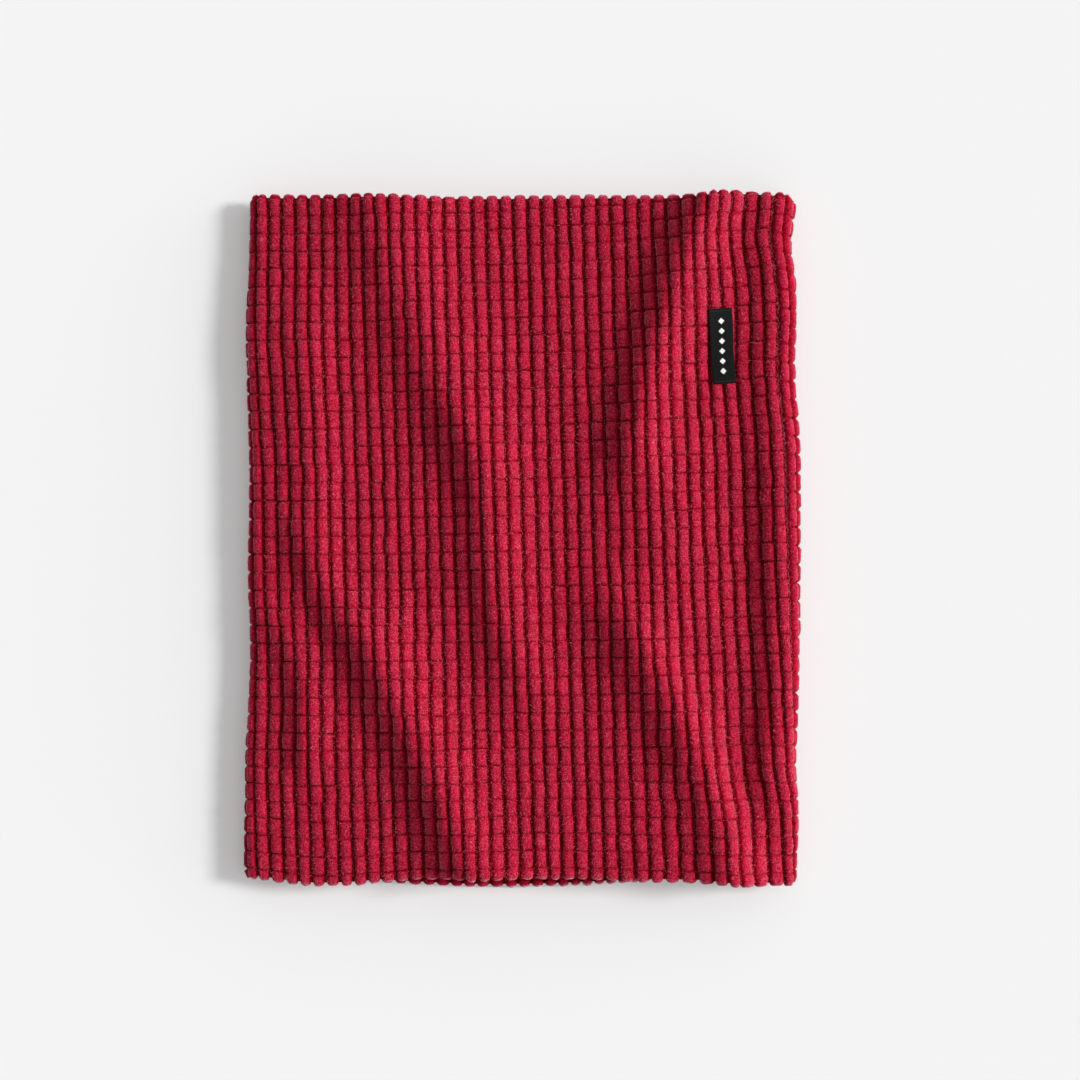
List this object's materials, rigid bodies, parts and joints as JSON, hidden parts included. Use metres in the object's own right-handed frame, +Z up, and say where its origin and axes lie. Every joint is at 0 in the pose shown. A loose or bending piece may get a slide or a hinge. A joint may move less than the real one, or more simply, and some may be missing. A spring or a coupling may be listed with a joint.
{
  "type": "neck gaiter",
  "caption": "Double-layer grid-fleece neck gaiter, an open sewn tube lying flat, with soft front folds, a side seam and a small woven label.",
  "frame": {"origin": "centre of the underside, on the surface that the gaiter lies on", "axes": "+Y along the tube towards its top mouth, +X across it towards the seamed fold, +Z up from the back to the front"},
  "size_m": [0.24, 0.298, 0.02],
  "materials": {
    "fleece_outer": "burgundy grid fleece, brushed blocks in ribs",
    "fleece_lining": "burgundy grid fleece",
    "seam_thread": "spun polyester thread",
    "label_weave": "black damask weave",
    "label_thread": "black polyester thread",
    "care_satin": "off-white satin ribbon"
  },
  "bodies": {
    "tube": {"outer_panel": "fleece_outer", "lining_panel": "fleece_lining", "outer_side_seam_thread": "seam_thread", "lining_side_seam_thread": "seam_thread", "top_rim_seam_thread": "seam_thread", "bottom_rim_seam_thread": "seam_thread", "woven_label": "label_weave", "label_stitch_top": "label_thread", "label_stitch_bottom": "label_thread"},
    "care_flap": {"care_label": "care_satin"}
  },
  "joints": [
    {"name": "care_label_flap", "type": "hinge", "parent": "tube", "child": "care_flap", "pos_m": [0.1132, -0.1, 0.00575], "axis": [0, 1, 0], "range_deg": [0, 12]}
  ]
}
